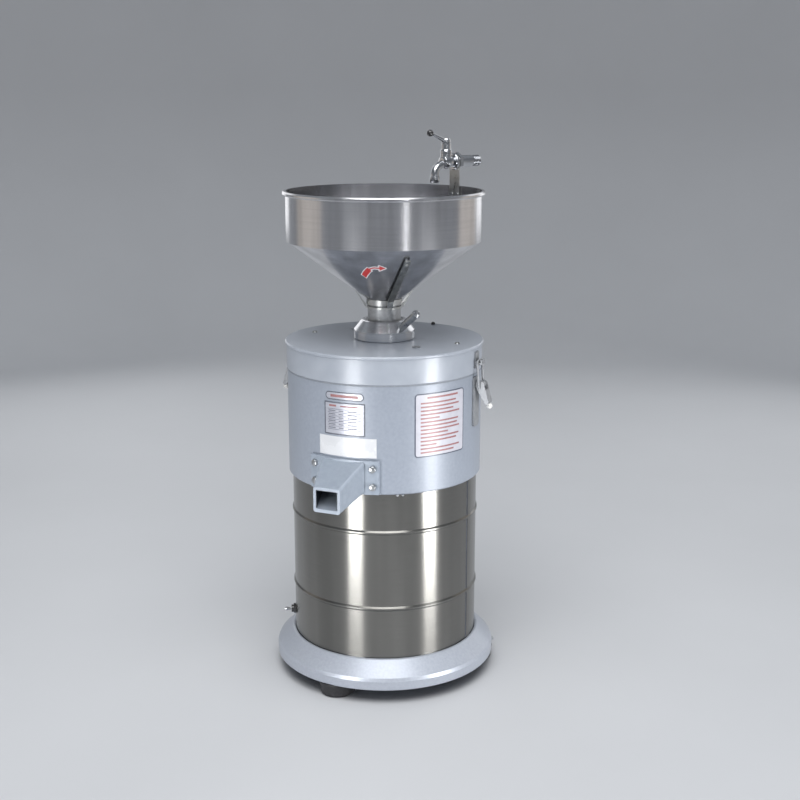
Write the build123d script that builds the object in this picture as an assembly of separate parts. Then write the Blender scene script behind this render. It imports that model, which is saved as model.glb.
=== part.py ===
from build123d import *
import math
import os

# Soy milk machine: a vertical stone grinder with a feed hopper, a water tap, a milk spout and
# a residue chute. Millimetres, +Z up. The origin is on the machine's axis at floor level.
# Azimuths are in degrees round Z: 0 points at the milk spout (-Y) and 90 at +X.
# A height that names a place is measured from the floor.

# Clearances
slack = 0.3            # between pieces that move past each other
running = 0.05         # radial, shaft in hole
seat_gap = 0.05        # radial, between pieces that fit into each other and stay put

# Feet and base ring
foot_height = 20.5
foot_radius = 28.5
foot_circle = 143.0
foot_azimuth = -6.0
foot_count = 3
foot_bolt_radius = 4.0
foot_bolt_head = 7.0
foot_bolt_head_height = 5.3
ring_radius = 170.0
ring_lip = 17.0        # height of the upright lip
ring_height = 39.5     # foot top to ring top
ring_wall = 5.0
ring_floor = 15.0      # underside of the ring's floor above the foot top
vent_count = 6
vent_radius = 22.0
vent_circle = 88.0
foot_boss = 13.0

# Motor shell
shell_radius = 141.5
shell_wall = 1.2
shell_step = 8.0       # depth of the ring's recess that the shell stands in
shell_height = 269.5
bead_heights = (117.5, 235.5)     # above the foot top
bead_rise = 1.8
bead_width = 7.0

# Grinding chamber housing
housing_overhang = 5.5 # beyond the shell
housing_wall = 5.0
housing_floor = 8.0
housing_skirt = 5.5    # the part of the wall that hangs over the shell
housing_height = 159.5
gasket_thickness = 2.5

# Lid
lid_overhang = 3.0     # beyond the housing
skirt_overhang = 1.0
skirt_wall = 5.0
lid_height = 41.0
lid_plate = 3.5
lid_boss_radius = 50.0
lid_boss_depth = 12.0
splash_circle = 118.0  # circle of the screws that hold the splash ring
lid_screw_radius = 2.5

# Grinding set
stone_radius = 62.0
stone_thickness = 28.0
stone_gap = 0.6        # at rest, between the two stones
furrow_count = 10
furrow_width = 4.0
furrow_depth = 2.0
sleeve_radius = 30.0
sleeve_neck_radius = 25.0
feed_bore = 20.0       # radius of the bore that the beans fall through
holder_radius = 98.0
holder_thickness = 8.0
pin_circle = 90.0
pin_radius = 4.0
pin_azimuth = 55.0
stone_screw_circle = 46.0
stone_screw_radius = 3.0

# Basket and screen
basket_floor_radius = 70.0
residue_room = 24.0    # from the basket's rim to the chamber's wall
basket_height = 78.0
basket_wall = 2.5
screen_wall = 1.0
window_count = 8
scraper_count = 4
scraper_gap = 6.0      # to the chamber's wall

# Motor
shaft_radius = 12.5
bearing_radius = 26.0
bearing_height = 15.0
rotor_radius = 42.0
stator_radius = 76.0
stack_height = 110.0
slot_count = 12
frame_wall = 6.0
fin_count = 16
fin_depth = 6.0
shield_radius = 118.0
motor_bolt_circle = 106.0
motor_bolt_radius = 4.0
fan_radius = 64.0
fan_drop = 58.0        # below the motor frame
capacitor_azimuth = -25.0
capacitor_radius = 17.0
capacitor_height = 70.0
capacitor_tab = 8.0

# Adjusting collar and its handle
collar_radius = 46.0
collar_top_radius = 34.0
collar_rise = 29.5     # above the lid
collar_cone = 15.0     # height of its conical part
spigot_radius = 36.0
handle_azimuth = 64.0
handle_radius = 5.5
handle_reach = 77.0    # from the machine's axis to the handle's end
handle_slope = 36.5

# Hopper
rim_radius = 150.0
rim_bead = 3.0
hopper_radius = 145.5
hopper_wall = 1.0
hopper_cylinder = 73.0
hopper_cone = 87.0
neck_radius = 27.0
neck_height = 8.5
gate_thickness = 2.4
gate_azimuth = 39.0
gate_arm_width = 9.0
gate_arm_reach = 131.0
seat_thickness = 3.0
strut_azimuth = -56.0
strut_width = 9.0
strut_reach = 44.0
moon_edge = 2.0             # of the gate's half-moon openings, from the axis

# Water tap
tap_azimuth = 154.0
tap_rise = 37.0        # tap axis above the hopper's rim
bracket_width = 21.0
bracket_thickness = 2.0
bracket_drop = 19.0    # bracket's foot below the rim
rivet_radius = 1.6
rivet_side = 6.0
rivet_drop = 13.0      # below the rim
tap_valve = 124.0      # valve axis from the machine's axis
tap_nozzle = 101.0     # nozzle axis from the machine's axis
tap_tail = 192.0       # threaded tail's end from the machine's axis
tap_tail_radius = 9.0
tap_bore = 5.5
tap_drop = 31.0        # nozzle's mouth below the tap axis
tap_arm_length = 26.0
tap_arm_lean = -68.0   # from upright

# Latches
latch_azimuths = {"left": -90.0, "right": 90.0}
latch_stand_off = 11.5 # lever's pivot from the chamber's wall
latch_drop = 17.0      # lever's pivot below the lid
crank = 5.0            # from the lever's pivot to the bail's pivot
crank_angle = -112.6
bail_wire = 1.75
bail_length = 40.7
bail_lean = 4.4        # degrees, inwards, when closed
lever_width = 16.0
lug_width = 12.0
lug_radius = 4.2
lug_swing = 10.0       # room between the cheeks round the lever's pin
latch_pin = 1.6        # radius of the lever's pin
knob_side = 11.5       # from the lever's pivot, outwards
knob_drop = 31.5       # below the lever's pivot
knob_radius = 4.5

# Outlets
outlet_reach = 202.0   # both mouths, from the machine's axis
spout_root_size = (70.0, 46.0)     # width, height
spout_mouth_size = (42.0, 37.0)
spout_rise = 13.5      # centre of the root above the chamber's floor
spout_fall = 23.0      # from root to mouth
chute_root_size = (86.0, 42.0)
chute_mouth_size = (64.0, 44.0)
chute_drop = 25.5      # centre of the root below the chamber's top
chute_fall = 26.0      # from root to mouth
outlet_wall = 4.8
flange_thickness = 5.5
flange_margin = 19.0   # flange beyond the duct's root on each side
outlet_bolt_radius = 3.0

# Switch
switch_azimuth = -60.0
switch_height = 88.0
switch_neck = 5.9

# Gland for the supply lead, at the back
gland_radius = 9.0
gland_bore = 5.0

# Places worked out from the sizes
ring_top = foot_height + ring_height
shell_bottom = ring_top - shell_step
shell_top = shell_bottom + shell_height
housing_bottom = shell_top - housing_skirt
floor_top = shell_top + housing_floor
housing_top = housing_bottom + housing_height
lid_bottom = housing_top + gasket_thickness
lid_top = lid_bottom + lid_height
housing_radius = shell_radius + housing_overhang
housing_inside = housing_radius - housing_wall
lid_radius = housing_radius + lid_overhang
skirt_radius = housing_radius + skirt_overhang
basket_rim_radius = housing_inside - residue_room
scraper_reach = housing_inside - scraper_gap
spout_root = (*spout_root_size, floor_top + spout_rise)
spout_mouth = (*spout_mouth_size, floor_top + spout_rise - spout_fall)
chute_root = (*chute_root_size, housing_top - chute_drop)
chute_mouth = (*chute_mouth_size, housing_top - chute_drop - chute_fall)
latch_pivot_out = housing_radius + latch_stand_off
latch_pivot_up = lid_bottom - latch_drop
knob_out = latch_pivot_out + knob_side
knob_up = latch_pivot_up - knob_drop
capacitor_circle = (stator_radius + frame_wall + fin_depth + shell_radius - shell_wall) / 2
basket_bottom = floor_top + 32.0
lower_stone_bottom = basket_bottom + 10.0
lower_stone_top = lower_stone_bottom + stone_thickness
upper_stone_bottom = lower_stone_top + stone_gap
upper_stone_top = upper_stone_bottom + stone_thickness
holder_top = upper_stone_top + holder_thickness
basket_top = basket_bottom + basket_height
collar_bottom = lid_top + slack
collar_top = lid_top + collar_rise
sleeve_top = collar_top + 17.0
seat_bottom = sleeve_top + slack
gate_bottom = seat_bottom + seat_thickness + slack
neck_bottom = gate_bottom + gate_thickness + slack
cone_bottom = neck_bottom + neck_height
cylinder_bottom = cone_bottom + hopper_cone
rim_top = cylinder_bottom + hopper_cylinder
cone_slope = hopper_cone / (hopper_radius - neck_radius)
cone_angle = math.degrees(math.atan(cone_slope))
tap_height = rim_top + tap_rise
motor_top = shell_top - 6.0
frame_top = motor_top - 10.0
stack_top = frame_top - 30.0
stack_bottom = stack_top - stack_height
frame_bottom = stack_bottom - 30.0
gland_height = ring_top + 22.0


def bevelled(corners, cuts):
    """Corners with some of them cut off at a distance along both edges."""
    points = []
    for i, (x, z) in enumerate(corners):
        if not cuts[i]:
            points.append((x, z))
            continue
        for other in (corners[i - 1], corners[(i + 1) % len(corners)]):
            share = cuts[i] / math.dist((x, z), other)
            points.append((x + (other[0] - x) * share, z + (other[1] - z) * share))
    return points


def turned(*corners, cuts=None):
    """Solid of revolution about Z. Corners are (radius, height); cuts bevels some of them."""
    points = bevelled(corners, cuts) if cuts else corners
    return revolve(Plane.XZ * make_face(Polyline(*points, close=True)), Axis.Z)


def tube(outer, inner, bottom, top):
    """Plain round tube about Z between two heights."""
    return turned((inner, bottom), (outer, bottom), (outer, top), (inner, top))


def rod(radius, bottom, top):
    """Plain round bar on Z between two heights."""
    low_end = (Align.CENTER, Align.CENTER, Align.MIN)
    return Pos(0, 0, bottom) * Cylinder(radius, top - bottom, align=low_end)


def facing(azimuth):
    """Frame at the machine's axis whose X points outwards at an azimuth."""
    return Rot(0, 0, azimuth - 90)


def radial_bar(radius, inner, outer, height, aside=0.0):
    """Bar along the local X of a facing() frame, from inner to outer radius."""
    return Pos(inner, aside, height) * Rot(0, 90, 0) * rod(radius, 0, outer - inner)


def block(x, y, z):
    """Box from pairs of limits."""
    middle = [(low + high) / 2 for low, high in (x, y, z)]
    return Pos(*middle) * Box(*[high - low for low, high in (x, y, z)])


def around(count, shape, start=0.0):
    """Copies of a shape spaced evenly about Z, as a list."""
    return [Rot(0, 0, start + 360 / count * i) * shape for i in range(count)]


def ball(radius):
    """Turned ball about the origin."""
    angles = [math.pi * (i / 8 - 0.5) for i in range(9)]
    return turned(*[(radius * math.cos(a) if abs(a) < 1.5 else 0, radius * math.sin(a)) for a in angles])


def cone_height(radius):
    """Height of the hopper cone's outer face at a radius."""
    return cone_bottom + (radius - neck_radius) * cone_slope


def save(name, shape):
    """Write one piece, or a group of equal pieces, as its node."""
    solids = shape if isinstance(shape, list) else [shape]
    parts = [s for one in solids for s in one.solids()]
    made = parts[0] if len(parts) == 1 else Compound(children=parts)
    export_step(made, f"parts/{name}.step")


# Base


def base_ring():
    """Cast ring: upright lip, sloping flare, recess for the shell, vented floor, foot bosses."""
    recess = shell_radius + 1.0
    ledge = shell_radius - 5.5
    under = foot_height + ring_floor
    body = turned(
        (ring_radius - ring_wall, foot_height),
        (ring_radius, foot_height),
        (ring_radius, foot_height + ring_lip),
        (recess + 3.5, ring_top),
        (recess, ring_top),
        (recess, shell_bottom),
        (ledge, shell_bottom),
        (ledge, under + ring_wall),
        (40, under + ring_wall),
        (40, under),
        (ledge + ring_wall, under),
        (ledge + ring_wall, under + 11),
        (ledge + 11, under + 11),
        (ring_radius - ring_wall, foot_height + ring_lip - 3),
        cuts=[0, 1.5, 3, 1, 0, 0, 0, 0, 0, 0, 0, 0, 0, 0],
    )
    vent = Pos(vent_circle, 0, 0) * rod(vent_radius, under - 1, under + ring_wall + 1)
    body -= around(vent_count, vent, start=30)
    for place in foot_places():
        body += place * rod(foot_boss, foot_height, under + 11.5)
        body -= place * rod(foot_bolt_radius + seat_gap, foot_height - 1, under + 5)
    return body


def foot_places():
    """Frames of the feet on their circle."""
    return [facing(foot_azimuth + 360 / foot_count * i) * Pos(foot_circle, 0, 0) for i in range(foot_count)]


def rubber_feet():
    """Three round pads, wider at the top, each with a counterbore for its bolt."""
    pad = turned(
        (foot_bolt_head + 1.5, 0),
        (foot_radius - 2.5, 0),
        (foot_radius, foot_height),
        (foot_bolt_radius + seat_gap, foot_height),
        (foot_bolt_radius + seat_gap, foot_height / 2),
        (foot_bolt_head + 1.5, foot_height / 2),
        cuts=[0, 2.5, 1.5, 0, 0, 0],
    )
    return [place * pad for place in foot_places()]


def foot_bolts():
    """Hexagon bolts that hold the pads, head up inside the counterbore."""
    seat = foot_height / 2
    head = extrude(RegularPolygon(foot_bolt_head, 6), foot_bolt_head_height)
    bolt = Pos(0, 0, seat - foot_bolt_head_height) * head
    bolt += rod(foot_bolt_radius, seat, foot_height + ring_floor + 3)
    return [place * bolt for place in foot_places()]


def motor_shell():
    """Rolled stainless shell with two raised beads pressed out of the sheet."""
    inner = shell_radius - shell_wall
    outside, inside = [], []
    for height in bead_heights:
        middle = foot_height + height
        for shift, rise in ((-bead_width / 2, 0), (-1, bead_rise), (1, bead_rise), (bead_width / 2, 0)):
            outside.append((shell_radius + rise, middle + shift))
            inside.append((inner + rise, middle + shift))
    corners = [(inner, shell_bottom), (shell_radius, shell_bottom)] + outside
    corners += [(shell_radius, shell_top), (inner, shell_top)] + inside[::-1]
    switch_hole = radial_bar(switch_neck + seat_gap, inner - 5, shell_radius + 5, switch_height)
    gland_hole = radial_bar(gland_radius + seat_gap, inner - 5, shell_radius + 5, gland_height)
    return turned(*corners) - facing(switch_azimuth) * switch_hole - facing(180) * gland_hole


# Motor, hung under the chamber's floor


def upper_end_shield():
    """Upper bearing bracket: disc with a bearing pocket and a spigot for the motor frame."""
    return turned(
        (shaft_radius + 1, motor_top),
        (shield_radius, motor_top),
        (shield_radius, frame_top),
        (stator_radius - 0.5, frame_top),
        (stator_radius - 0.5, frame_top - 4),
        (stator_radius - 6, frame_top - 4),
        (stator_radius - 10, frame_top),
        (bearing_radius + 6, frame_top),
        (bearing_radius + 6, motor_top - bearing_height - 4),
        (bearing_radius + seat_gap, motor_top - bearing_height - 4),
        (bearing_radius + seat_gap, motor_top - 4),
        (shaft_radius + 1, motor_top - 4),
    ) - motor_bolt_bars(motor_bolt_radius + seat_gap, frame_top - 1, motor_top + 1)


def motor_bolt_bars(radius, bottom, top):
    """Four upright bars on the circle of the motor's bolts."""
    return around(4, Pos(motor_bolt_circle, 0, 0) * rod(radius, bottom, top), start=45)


def bearing(bottom):
    """Shielded ball bearing: outer ring closed by its shields, and inner ring."""
    top = bottom + bearing_height - 1
    inner = shaft_radius + 3.5
    outer_ring = tube(bearing_radius, inner + seat_gap, bottom, top)
    return [outer_ring, tube(inner, shaft_radius + running, bottom, top)]


def motor_bearings():
    """The two equal bearings, each in its bracket's pocket."""
    return bearing(motor_top - bearing_height - 3) + bearing(frame_bottom - 18)


def motor_frame():
    """Aluminium motor frame with upright cooling fins."""
    out = stator_radius + frame_wall
    body = tube(out, stator_radius, frame_bottom, frame_top)
    fin = block((out - 0.5, out + fin_depth), (-1.5, 1.5), (frame_bottom + 8, frame_top - 8))
    return body + around(fin_count, fin)


def stator_core():
    """Laminated ring with open slots facing the rotor."""
    body = tube(stator_radius - seat_gap, rotor_radius + 0.5, stack_bottom, stack_top)
    slot = block((rotor_radius - 1, rotor_radius + 20), (-5, 5), (stack_bottom - 1, stack_top + 1))
    return body - around(slot_count, slot)


def stator_windings():
    """Coil heads above and below the stack, joined by the bundles in the slots."""
    low, high = stack_bottom, stack_top
    inner, outer = rotor_radius + 5, rotor_radius + 20 - seat_gap * 4
    heads = [
        turned((inner, z0), (outer, z0), (outer, z1), (inner, z1), cuts=[r0, r0, r1, r1])
        for z0, z1, r0, r1 in ((low - 20, low, 5, 0), (high, high + 20, 0, 5))
    ]
    bundle = block((inner, outer), (-4.8, 4.8), (low - 5, high + 5))
    return heads[0] + heads[1] + around(slot_count, bundle)


def lower_end_shield():
    """Lower bearing bracket with a pocket for the bearing."""
    top = frame_bottom
    return turned(
        (shaft_radius + 1, top - 22),
        (bearing_radius + 7, top - 22),
        (bearing_radius + 7, top - 10),
        (stator_radius + frame_wall, top - 8),
        (stator_radius + frame_wall, top),
        (stator_radius - 0.5, top),
        (stator_radius - 0.5, top + 4),
        (stator_radius - 6, top + 4),
        (stator_radius - 12, top - 2),
        (bearing_radius + seat_gap, top - 4),
        (bearing_radius + seat_gap, top - 18),
        (shaft_radius + 1, top - 18),
    )


def motor_bolts():
    """Bolts that hold the upper bracket under the chamber's floor."""
    shanks = motor_bolt_bars(motor_bolt_radius, frame_top, shell_top + 5)
    heads = motor_bolt_bars(motor_bolt_radius + 3, frame_top - 5.5, frame_top)
    return [shank + head for shank, head in zip(shanks, heads)]


def rotor_shaft():
    """Stepped shaft from the fan up through both bearings and the seal to the basket."""
    thin = shaft_radius - 2.5
    return turned(
        (0, frame_bottom - 62),
        (thin - 2, frame_bottom - 62),
        (thin, frame_bottom - 60),
        (thin, frame_bottom - 20),
        (shaft_radius, frame_bottom - 20),
        (shaft_radius, basket_bottom - 4),
        (thin, basket_bottom - 4),
        (thin, lower_stone_top - 6),
        (0, lower_stone_top - 6),
    )


def rotor_core():
    """Squirrel-cage rotor stack with its end rings."""
    low, high = stack_bottom, stack_top
    return turned(
        (shaft_radius + running, low - 8),
        (rotor_radius - 10, low - 8),
        (rotor_radius - 4, low),
        (rotor_radius, low),
        (rotor_radius, high),
        (rotor_radius - 4, high),
        (rotor_radius - 10, high + 8),
        (shaft_radius + running, high + 8),
    )


def cooling_fan():
    """Radial fan under the motor: hub, disc and blades."""
    low = frame_bottom - fan_drop
    bore = shaft_radius - 2.5 + running
    body = tube(18, bore, low, low + 24) + tube(fan_radius, 17, low, low + 2.5)
    blade = block((17.5, fan_radius - 1), (-1, 1), (low + 2, low + 20))
    return body + around(8, blade)


def run_capacitor():
    """Round motor capacitor beside the motor, with its two tabs."""
    place = facing(capacitor_azimuth) * Pos(capacitor_circle, 0, 0)
    low = ring_top + 30
    top = low + capacitor_height
    can = turned((0, low), (capacitor_radius, low), (capacitor_radius, top), (0, top), cuts=[0, 0, 2, 0])
    tabs = [place * block((-0.4, 0.4), (y - 3, y + 3), (top, top + capacitor_tab)) for y in (-6, 6)]
    return [place * can] + tabs


def capacitor_clamp():
    """Band that holds the capacitor to the shell."""
    place = facing(capacitor_azimuth) * Pos(capacitor_circle, 0, 0)
    low = ring_top + 30 + capacitor_height / 2 - 10
    outer = capacitor_radius + 1.5
    band = tube(outer, capacitor_radius + seat_gap, low, low + 16)
    gap = shell_radius - shell_wall - capacitor_circle
    arm = block((outer - 0.7, gap - 0.6), (-8, 8), (low, low + 16))
    return place * (band + arm)


def toggle_switch():
    """Switch body inside the shell with its threaded neck and hexagon nut outside."""
    wall = shell_radius
    body = block((wall - 32, wall - 3), (-9, 9), (switch_height - 14, switch_height + 14))
    neck = radial_bar(switch_neck, wall - 4, wall + 7, switch_height)
    nut = Pos(wall + 0.4, 0, switch_height) * Rot(0, 90, 0) * extrude(RegularPolygon(8.5, 6), 3)
    bore = radial_bar(3.6, wall - 4.2, wall + 8, switch_height)
    return facing(switch_azimuth) * (body + neck + nut - bore)


def switch_lever():
    """Bat-shaped toggle with the round hub that it pivots on inside the neck."""
    wall = shell_radius
    bat = Pos(wall - 1.5, 0, switch_height) * Rot(0, 90, 0) * turned(
        (0, 0), (1.6, 0), (1.6, 9), (2.8, 17), (2.2, 19), (0, 19)
    )
    hub = across(1.9, 2.6, wall - 1.5, switch_height)
    return facing(switch_azimuth) * (bat + hub)


def cable_gland():
    """Gland at the back of the shell, with an open bore for the supply lead."""
    wall = 6 + shell_wall
    body = Pos(shell_radius - wall, 0, gland_height) * Rot(0, 90, 0) * turned(
        (gland_bore, 0),
        (gland_radius + 2, 0),
        (gland_radius + 2, wall - shell_wall - 0.6),
        (gland_radius, wall - shell_wall - 0.6),
        (gland_radius, wall + 0.4),
        (gland_radius + 3, wall + 0.4),
        (gland_radius + 3, wall + 5),
        (gland_radius + 1, wall + 6),
        (gland_radius + 1, wall + 12),
        (gland_radius - 1.5, wall + 18),
        (gland_bore, wall + 18),
    )
    return facing(180) * body


# Chamber


def grinding_housing():
    """Cast chamber: wall, floor with a seal boss, and windows to the spout and the chute."""
    seal_outer = bearing_radius - 2
    body = turned(
        (shell_radius + 0.7, housing_bottom),
        (housing_radius, housing_bottom),
        (housing_radius, housing_top),
        (housing_inside, housing_top),
        (housing_inside, floor_top),
        (seal_outer + 12, floor_top),
        (seal_outer + 8, floor_top + 20),
        (seal_outer + seat_gap, floor_top + 20),
        (seal_outer + seat_gap, floor_top + 6),
        (shaft_radius + 1, floor_top + 6),
        (shaft_radius + 1, motor_top),
        (shield_radius, motor_top),
        (shield_radius, shell_top),
        (shell_radius + 0.7, shell_top),
        cuts=[0, 2, 0, 0, 0, 0, 0, 0, 0, 0, 0, 0, 0, 0],
    )
    milk = window(spout_root, outlet_wall)
    milk_low = max(spout_root[2] - spout_root[1] / 2 + outlet_wall, floor_top)
    milk &= block((0, 2 * housing_radius), (-housing_radius, housing_radius), (milk_low, housing_top))
    body -= facing(0) * milk
    body -= facing(180) * window(chute_root, outlet_wall)
    hole = outlet_bolt_radius + seat_gap
    body -= bolt_places(spout_root, hole, housing_inside - 2, housing_radius + 1, 0)
    body -= bolt_places(chute_root, hole, housing_inside - 2, housing_radius + 1, 180)
    return body - motor_bolt_bars(motor_bolt_radius + seat_gap, motor_top - 1, shell_top + 5.5)


def window(root, wall):
    """Cutter through the chamber's wall, as wide as a duct is inside."""
    wide, high, middle = root
    return block(
        (housing_inside - 12, housing_radius + 3),
        (-wide / 2 + wall, wide / 2 - wall),
        (middle - high / 2 + wall, middle + high / 2 - wall),
    )


def bolt_places(root, radius, inner, outer, azimuth):
    """Four radial bars where an outlet's flange is bolted to the chamber."""
    wide, high, middle = root
    swing = math.degrees((wide / 2 + flange_margin / 2) / housing_radius)
    bars = []
    for side in (-1, 1):
        for up in (-0.29, 0.29):
            place = facing(azimuth + side * swing)
            bars.append(place * radial_bar(radius, inner, outer, middle + up * high))
    return bars


def outlet(root, mouth, azimuth):
    """Cast duct that slopes down and narrows from a curved bolted flange to its mouth."""
    wide, high, middle = root
    start = housing_radius + flange_thickness / 2

    def duct(shrink, inner_x, outer_x):
        sections = []
        for x, (w, h, z) in ((inner_x, root), (outer_x, mouth)):
            plane = Plane(origin=(x, 0, z), x_dir=(0, 1, 0), z_dir=(1, 0, 0))
            sections.append(plane * RectangleRounded(w - 2 * shrink, h - 2 * shrink, max(4 - shrink / 2, 1)))
        return loft(sections)

    half = wide / 2 + flange_margin
    face = housing_radius + flange_thickness
    flange = tube(face, housing_radius + seat_gap, middle - high / 2 - 2, middle + high / 2 + 2)
    flange &= block((housing_radius / 2, 2 * housing_radius), (-half, half), (0, lid_top))
    body = flange + duct(0, start, outlet_reach)
    body -= duct(outlet_wall, housing_radius - 1, outlet_reach + 0.01)
    body -= window(root, outlet_wall)
    body = facing(azimuth) * body
    return body - bolt_places(root, outlet_bolt_radius + seat_gap, housing_radius - 2, face + 1, azimuth)


def outlet_bolts():
    """Round-headed screws of both outlet flanges."""
    seat = housing_radius + flange_thickness + seat_gap
    bolts = []
    for root, azimuth in ((spout_root, 0), (chute_root, 180)):
        shanks = bolt_places(root, outlet_bolt_radius, housing_inside, seat + 1, azimuth)
        heads = bolt_places(root, outlet_bolt_radius * 1.75, seat, seat + 3.2, azimuth)
        bolts += [shank + head for shank, head in zip(shanks, heads)]
    return bolts


def shaft_seal():
    """Lip seal in the boss of the chamber's floor."""
    outer = bearing_radius - 2
    return turned(
        (shaft_radius + running, floor_top + 9),
        (outer - 6, floor_top + 7),
        (outer - 6, floor_top + 6),
        (outer, floor_top + 6),
        (outer, floor_top + 16),
        (shaft_radius + running, floor_top + 16),
    )


def residue_trough():
    """Fixed ring that parts the milk space below from the residue space above."""
    floor = basket_top - 14
    lip = basket_rim_radius + 3
    return turned(
        (lip, floor - 4),
        (housing_inside - 2 * seat_gap, floor - 4),
        (housing_inside - 2 * seat_gap, floor),
        (lip + 2.5, floor),
        (lip + 2.5, floor + 6),
        (lip, floor + 6),
    )


# Rotating grinding set


def filter_basket():
    """Basket frame: hub, flared wall with windows, rim, and scrapers that sweep the trough."""
    thin = shaft_radius - 2.5 + running
    wall_low = basket_floor_radius
    wall_high = basket_rim_radius - 2
    body = turned(
        (thin, basket_bottom - 4),
        (22, basket_bottom - 4),
        (26, basket_bottom),
        (wall_low, basket_bottom),
        (wall_high, basket_top - 4),
        (basket_rim_radius + 7, basket_top - 4),
        (basket_rim_radius + 7, basket_top),
        (wall_high - basket_wall, basket_top),
        (wall_low - basket_wall, basket_bottom + 10 - slack),
        (thin, basket_bottom + 10 - slack),
    )
    middle = (basket_bottom + basket_top) / 2 + 2
    gap = block((wall_low + 4, basket_rim_radius + 10), (-22, 22), (middle - 23, middle + 23))
    body -= around(window_count, gap, start=22.5)
    blade = block((basket_rim_radius + 6, scraper_reach), (-2.5, 2.5), (basket_top - 13, basket_top))
    return body + around(scraper_count, blade, start=22.5)


def filter_screen():
    """Conical screen that lies on the inside of the basket's wall."""
    low = basket_floor_radius - basket_wall - seat_gap
    high = basket_rim_radius - 2 - basket_wall - seat_gap
    bottom = basket_bottom + 10
    return turned(
        (low - screen_wall, bottom),
        (low, bottom),
        (high, basket_top),
        (high - screen_wall, basket_top),
    )


def stone(bottom, face_up, bore):
    """Ring stone with a dished eye and slanting furrows in its grinding face."""
    top = bottom + stone_thickness
    face, back, inward = (top, bottom, -1) if face_up else (bottom, top, 1)
    body = turned(
        (bore, back),
        (stone_radius, back),
        (stone_radius, face),
        (bore + 12, face),
        (bore, face + inward * 5),
    )
    low = face - furrow_depth if face_up else face - 1
    furrow = Pos(0, 14, 0) * block(
        (bore - 4, stone_radius + 2), (-furrow_width / 2, furrow_width / 2), (low, low + furrow_depth + 1)
    )
    body -= around(furrow_count, furrow)
    if face_up:
        return body
    return body - stone_screw_bars(stone_screw_radius + seat_gap, back - 14.5, back + 1)


def feed_screw():
    """Winged nut on the shaft's end that locks the lower stone and throws beans outwards."""
    bottom = lower_stone_top - 8
    bore = shaft_radius - 2.5 + running
    hub = turned(
        (bore, bottom - 6),
        (16, bottom - 6),
        (16, bottom),
        (13, bottom + 8),
        (5, bottom + 18),
        (0, bottom + 18),
        (0, bottom + 3),
        (bore, bottom + 3),
    )
    wing = Rot(0, 0, 20) * block((4, 18), (-1.5, 1.5), (bottom + 4, bottom + 14))
    return hub + around(3, wing)


def stone_holder():
    """Upper stone's carrier: disc, and the sleeve screwed into it that the beans fall through."""
    seat = sleeve_radius + seat_gap
    body = turned(
        (seat, upper_stone_top),
        (holder_radius, upper_stone_top),
        (holder_radius, holder_top),
        (sleeve_radius + 6, holder_top),
        (sleeve_radius + 1, holder_top + 8),
        (seat, holder_top + 8),
    )
    sleeve = turned(
        (feed_bore, upper_stone_top),
        (sleeve_radius, upper_stone_top),
        (sleeve_radius, collar_top - 2),
        (sleeve_neck_radius, collar_top - 2),
        (sleeve_neck_radius, sleeve_top),
        (feed_bore, sleeve_top),
    )
    pin_hole = Pos(pin_circle, 0, 0) * rod(pin_radius + running, upper_stone_top - 1, holder_top + 1)
    body -= around(2, facing(pin_azimuth) * pin_hole)
    return [body - stone_screw_bars(stone_screw_radius + seat_gap, upper_stone_top - 1, holder_top + 1), sleeve]


def stone_screws():
    """Screws that clamp the upper stone to its holder."""
    shanks = stone_screw_bars(stone_screw_radius, upper_stone_top - 14, holder_top)
    heads = stone_screw_bars(stone_screw_radius + 2.5, holder_top, holder_top + 3)
    return [shank + head for shank, head in zip(shanks, heads)]


def stone_screw_bars(radius, bottom, top):
    """Three upright bars on the circle of the upper stone's screws."""
    return around(3, Pos(stone_screw_circle, 0, 0) * rod(radius, bottom, top), start=20)


def guide_pins():
    """Pins under the lid that stop the upper stone from turning while it moves up or down."""
    low = upper_stone_top - 3
    pin = rod(pin_radius, low, lid_top) + rod(pin_radius + 2, lid_top, lid_top + 1.6)
    return around(2, facing(pin_azimuth) * Pos(pin_circle, 0, 0) * pin)


# Lid and adjusting collar


def lid_gasket():
    """Flat rubber ring between the chamber's wall and the lid."""
    return tube(housing_radius + 0.3, housing_inside, housing_top, lid_bottom)


def lid():
    """Turned lid: deep skirt, slightly overhanging top plate, boss for the collar."""
    under = lid_top - lid_plate
    body = turned(
        (skirt_radius - skirt_wall, lid_bottom),
        (skirt_radius, lid_bottom),
        (skirt_radius, under - 1.5),
        (lid_radius, under),
        (lid_radius, lid_top),
        (spigot_radius + slack, lid_top),
        (spigot_radius + slack, under - lid_boss_depth),
        (lid_boss_radius, under - lid_boss_depth),
        (lid_boss_radius, under),
        (skirt_radius - skirt_wall, under),
        cuts=[0, 0.8, 0, 0, 1.5, 0, 0, 0, 0, 0],
    )
    pin_hole = Pos(pin_circle, 0, 0) * rod(pin_radius + seat_gap, under - 1, lid_top + 1)
    body -= around(2, facing(pin_azimuth) * pin_hole)
    screw_hole = Pos(splash_circle, 0, 0) * rod(lid_screw_radius + seat_gap, under - 1, lid_top + 1)
    return body - around(2, screw_hole)


def splash_ring():
    """Stainless ring under the lid that keeps thrown residue outside the basket."""
    top = lid_top - lid_plate
    body = turned(
        (splash_circle - 8, basket_top + 8),
        (splash_circle - 6, basket_top + 8),
        (splash_circle - 6, top - 2),
        (splash_circle + 8, top - 2),
        (splash_circle + 8, top),
        (splash_circle - 8, top),
    )
    hole = Pos(splash_circle, 0, 0) * rod(lid_screw_radius + seat_gap, top - 3, top + 1)
    return body - around(2, hole)


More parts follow.
